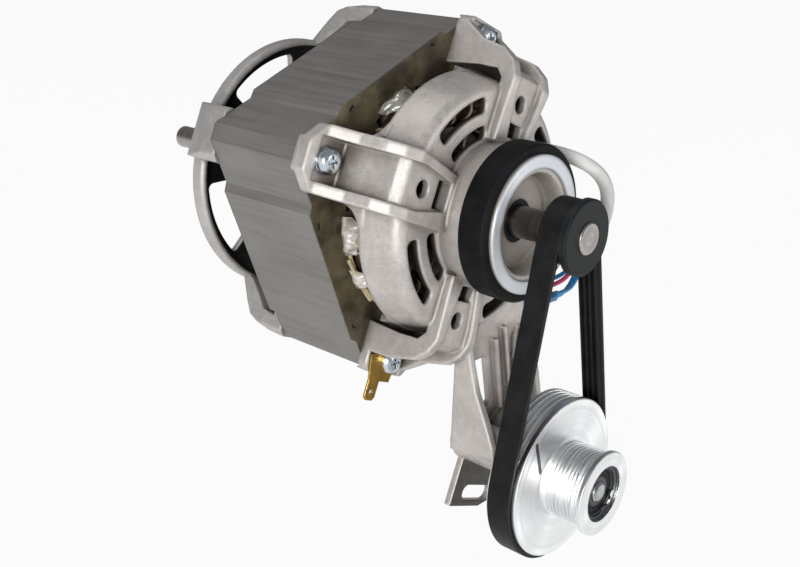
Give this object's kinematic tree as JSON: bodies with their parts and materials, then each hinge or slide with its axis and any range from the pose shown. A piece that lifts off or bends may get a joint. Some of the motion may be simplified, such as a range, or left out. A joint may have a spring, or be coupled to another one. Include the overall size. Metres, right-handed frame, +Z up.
{
  "type": "dryer motor",
  "caption": "Dryer drive motor with cast end shields, a ribbed belt and a reduction pulley carried on a cast arm.",
  "frame": {"origin": "centre of the rubber mounting ring, on the motor axis", "axes": "-Y along the motor shaft toward the belt end, +Z up, with the reduction pulley straight below the motor axis"},
  "size_m": [0.1432, 0.2437, 0.2021],
  "materials": {
    "cast_aluminium": "as cast",
    "lamination_steel": "stacked sheet edges",
    "turned_aluminium": "turned bright",
    "bright_steel": "ground",
    "zinc_steel": "zinc plated",
    "rubber": "matt",
    "belt_rubber": "smooth back",
    "black_polymer": "moulded",
    "winding": "varnished copper",
    "brass": "satin",
    "white_sleeve": "woven sleeving",
    "blue_insulation": "extruded",
    "red_insulation": "extruded"
  },
  "bodies": {
    "motor_frame": {"mounting_ring": "rubber", "front_shield": "cast_aluminium", "rear_shield": "cast_aluminium", "stator_core": "lamination_steel", "front_winding": "winding", "rear_winding": "winding", "rear_liner": "black_polymer", "earth_tab": "brass", "wave_washer": "bright_steel", "shaft_seal": "black_polymer", "axle_spacer": "bright_steel", "boss_spacer": "bright_steel", "pulley_axle": "zinc_steel", "drive_belt": "belt_rubber", "lead_sleeve": "white_sleeve", "lead_collar": "black_polymer", "lead_wire_1": "blue_insulation", "lead_wire_2": "blue_insulation", "lead_wire_3": "blue_insulation", "lead_wire_4": "red_insulation", "lead_terminal_1": "brass", "lead_terminal_2": "brass", "lead_terminal_3": "brass", "lead_terminal_4": "brass", "corner_bolt_1": "zinc_steel", "corner_bolt_2": "zinc_steel", "corner_bolt_3": "zinc_steel", "corner_bolt_4": "zinc_steel", "corner_washer_1": "zinc_steel", "corner_washer_2": "zinc_steel", "corner_washer_4": "zinc_steel", "front_bearing_outer_ring": "bright_steel", "front_bearing_balls": "bright_steel", "rear_bearing_outer_ring": "bright_steel", "rear_bearing_balls": "bright_steel", "pulley_front_bearing_balls": "bright_steel", "pulley_front_bearing_inner_ring": "bright_steel", "pulley_rear_bearing_balls": "bright_steel", "pulley_rear_bearing_inner_ring": "bright_steel"},
    "rotor": {"motor_shaft": "bright_steel", "rotor_core": "lamination_steel", "rotor_front_ring": "cast_aluminium", "rotor_rear_ring": "cast_aluminium", "motor_pulley": "black_polymer", "front_bearing_inner_ring": "bright_steel", "rear_bearing_inner_ring": "bright_steel"},
    "pulley": {"reduction_pulley": "turned_aluminium", "pulley_front_bearing_outer_ring": "bright_steel", "pulley_rear_bearing_outer_ring": "bright_steel", "pulley_seal": "black_polymer", "bearing_circlip": "bright_steel"}
  },
  "joints": [
    {"name": "rotor_spin", "type": "hinge", "parent": "motor_frame", "child": "rotor", "pos_m": [0, 0, 0], "axis": [0, 1, 0], "continuous": true},
    {"name": "pulley_spin", "type": "hinge", "parent": "motor_frame", "child": "pulley", "pos_m": [0, 0, -0.0955], "axis": [0, 1, 0], "continuous": true}
  ],
  "couplings": [
    {"joint": "pulley_spin", "follows": "rotor_spin", "ratio": 0.36508}
  ]
}
